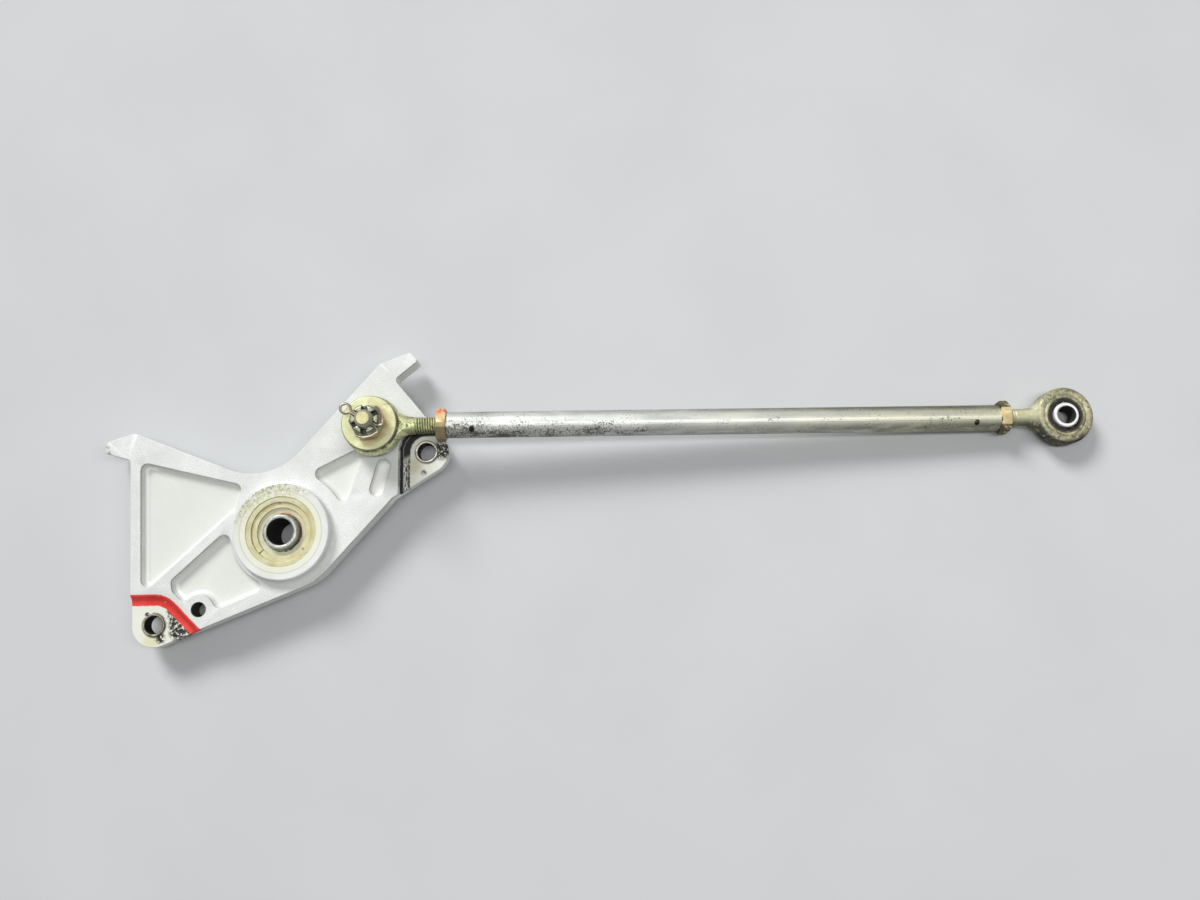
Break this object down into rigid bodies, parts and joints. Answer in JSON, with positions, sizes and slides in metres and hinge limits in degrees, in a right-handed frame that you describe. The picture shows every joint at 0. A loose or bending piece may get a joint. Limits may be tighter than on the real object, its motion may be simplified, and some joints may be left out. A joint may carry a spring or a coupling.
{
  "type": "aircraft bellcrank",
  "caption": "Flat machined control bellcrank with a sealed ball-bearing pivot, bushed lugs and stop hooks, and a push-pull rod with ball-bearing rod ends bolted to one arm.",
  "frame": {"origin": "centre of the pivot bore, halfway through the plate", "axes": "+Z along the pivot axis towards the bolted rod's face, +X along the rod as it lies, +Y towards the rod's side of the plate"},
  "size_m": [0.3655, 0.1064, 0.0346],
  "materials": {
    "plate_paint": "machined plate under thin pale grey paint, worn and greasy at the lugs",
    "bush_steel": "bare steel, dull",
    "bearing_steel": "yellow passivated plating",
    "shield": "thin pressed shield, greasy",
    "snap_wire": "yellow passivated spring wire",
    "ball_steel": "polished",
    "sleeve_steel": "ground bright",
    "cadmium_gold": "yellow passivated plating",
    "stained_washer": "yellow plating with brown stains",
    "pin_wire": "drawn wire",
    "rod_end_steel": "dull plating with brown stains",
    "seal_rubber": "matt black",
    "jam_nut_gold": "yellow plating with traces of orange lacquer",
    "tube_plating": "dull grey plating with fine grime"
  },
  "bodies": {
    "bellcrank": {"bellcrank_plate": "plate_paint", "lower_lug_bush": "bush_steel", "right_lug_bush": "bush_steel", "pivot_bearing_outer_ring": "bearing_steel", "pivot_upper_shield": "shield", "pivot_lower_shield": "shield", "pivot_upper_snap_ring": "snap_wire", "pivot_lower_snap_ring": "snap_wire", "attach_bolt": "cadmium_gold", "under_head_washer": "cadmium_gold", "spacer_washer": "cadmium_gold", "left_rod_end_inner_ring": "sleeve_steel", "large_washer": "stained_washer", "castle_nut": "cadmium_gold", "cotter_pin": "pin_wire"},
    "pivot_ball_set": {"pivot_bearing_balls": "ball_steel"},
    "pivot_inner": {"pivot_bearing_inner_ring": "bearing_steel", "pivot_sleeve": "sleeve_steel"},
    "left_ball_set": {"left_rod_end_balls": "ball_steel"},
    "push_rod": {"left_rod_end_body": "rod_end_steel", "left_upper_seal": "seal_rubber", "left_lower_seal": "seal_rubber", "left_jam_nut": "jam_nut_gold", "push_rod_tube": "tube_plating", "right_jam_nut": "jam_nut_gold", "right_rod_end_body": "rod_end_steel", "right_upper_seal": "seal_rubber", "right_lower_seal": "seal_rubber"},
    "right_ball_set": {"right_rod_end_balls": "ball_steel"},
    "right_eye_ring": {"right_rod_end_inner_ring": "sleeve_steel"}
  },
  "joints": [
    {"name": "pivot_spin", "type": "hinge", "parent": "bellcrank", "child": "pivot_inner", "pos_m": [0, 0, 0], "axis": [0, 0, 1], "continuous": true},
    {"name": "pivot_ball_orbit", "type": "hinge", "parent": "bellcrank", "child": "pivot_ball_set", "pos_m": [0, 0, 0], "axis": [0, 0, 1], "continuous": true},
    {"name": "rod_swivel", "type": "hinge", "parent": "bellcrank", "child": "left_ball_set", "pos_m": [0.03307, 0.03751, 0.00955], "axis": [0, 0, 1], "range_deg": [-0.5, 40]},
    {"name": "rod_tilt", "type": "hinge", "parent": "left_ball_set", "child": "push_rod", "pos_m": [0.03307, 0.03751, 0.00955], "axis": [0, -1, 0], "range_deg": [-0.5, 9]},
    {"name": "far_eye_tilt", "type": "hinge", "parent": "push_rod", "child": "right_ball_set", "pos_m": [0.2877, 0.03751, -0.00405], "axis": [0, 1, 0], "range_deg": [-4, 10]},
    {"name": "far_eye_spin", "type": "hinge", "parent": "right_ball_set", "child": "right_eye_ring", "pos_m": [0.2877, 0.03751, -0.00405], "axis": [0, 0, 1], "continuous": true}
  ],
  "couplings": [
    {"joint": "pivot_ball_orbit", "follows": "pivot_spin", "ratio": 0.3849}
  ]
}
